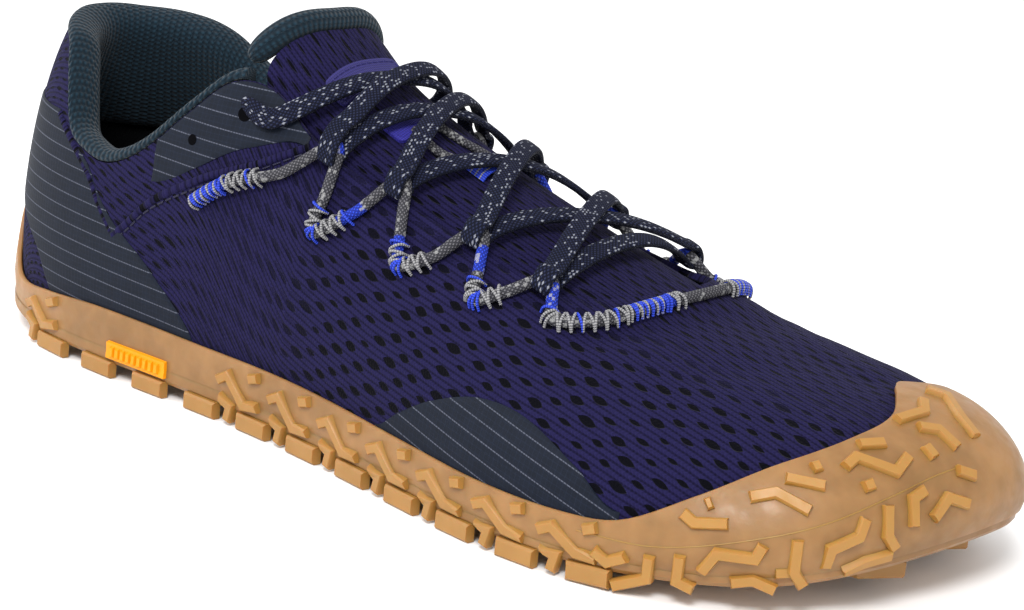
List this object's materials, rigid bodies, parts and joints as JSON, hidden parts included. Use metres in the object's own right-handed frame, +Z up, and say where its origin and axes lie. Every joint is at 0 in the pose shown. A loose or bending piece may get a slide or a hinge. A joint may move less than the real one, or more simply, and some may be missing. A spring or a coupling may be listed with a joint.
{
  "type": "barefoot shoe",
  "caption": "Low right-foot trail shoe with a wide toe, a knitted mesh upper, flat lacing through cord loops and a thin flexible gum rubber sole that wraps up over the toe.",
  "frame": {"origin": "on the floor under the middle of the shoe's box", "axes": "+X from heel to toe, +Y towards the inner (big toe) side, +Z up"},
  "size_m": [0.2784, 0.1094, 0.0941],
  "materials": {
    "gum_rubber": "satin translucent gum rubber",
    "badge_rubber": "satin",
    "insole_foam": "matte cloth over foam",
    "mesh": "matte knitted mesh",
    "lining_knit": "matte padded knit",
    "tongue_mesh": "matte knitted mesh",
    "label_weave": "matte weave, blank",
    "keeper_weave": "matte weave, blank",
    "cord": "matte braid",
    "film": "satin welded film",
    "lace_braid": "matte flat braid"
  },
  "bodies": {
    "root": {"outsole": "gum_rubber", "side_badge": "badge_rubber", "insole": "insole_foam", "upper": "mesh", "collar_lining": "lining_knit", "tongue": "tongue_mesh", "tongue_rim": "lining_knit", "tongue_label": "label_weave", "keeper_label": "keeper_weave", "keeper_cord": "cord", "heel_counter": "film", "eyestay_outer": "film", "eyestay_inner": "film", "forefoot_overlay": "film", "eyelet_cord": "cord", "lace": "lace_braid"}
  },
  "joints": []
}
